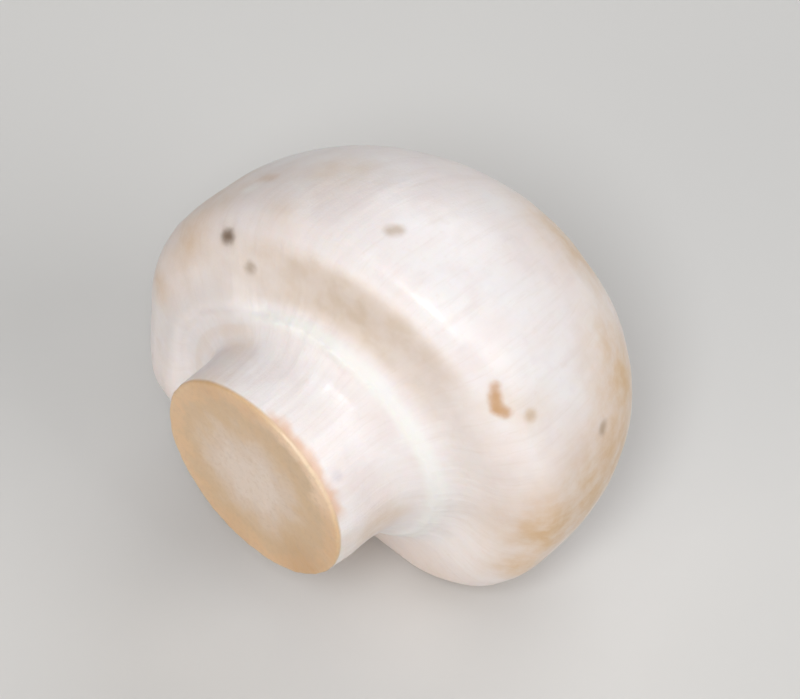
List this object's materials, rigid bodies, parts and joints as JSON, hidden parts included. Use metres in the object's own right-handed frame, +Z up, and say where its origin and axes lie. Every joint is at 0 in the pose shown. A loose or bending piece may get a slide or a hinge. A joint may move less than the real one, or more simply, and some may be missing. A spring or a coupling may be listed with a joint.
{
  "type": "button mushroom",
  "caption": "Whole button mushroom with a closed veil and a short trimmed stem, lying on the side of its cap.",
  "frame": {"origin": "middle of the box in X and Y, on the surface that the mushroom lies on", "axes": "-Y along the stem towards its cut face, +Y towards the apex of the cap, +Z up from the resting surface"},
  "size_m": [0.0362, 0.0306, 0.0355],
  "materials": {
    "mushroom_flesh": "satin"
  },
  "bodies": {
    "root": {"mushroom": "mushroom_flesh"}
  },
  "joints": []
}
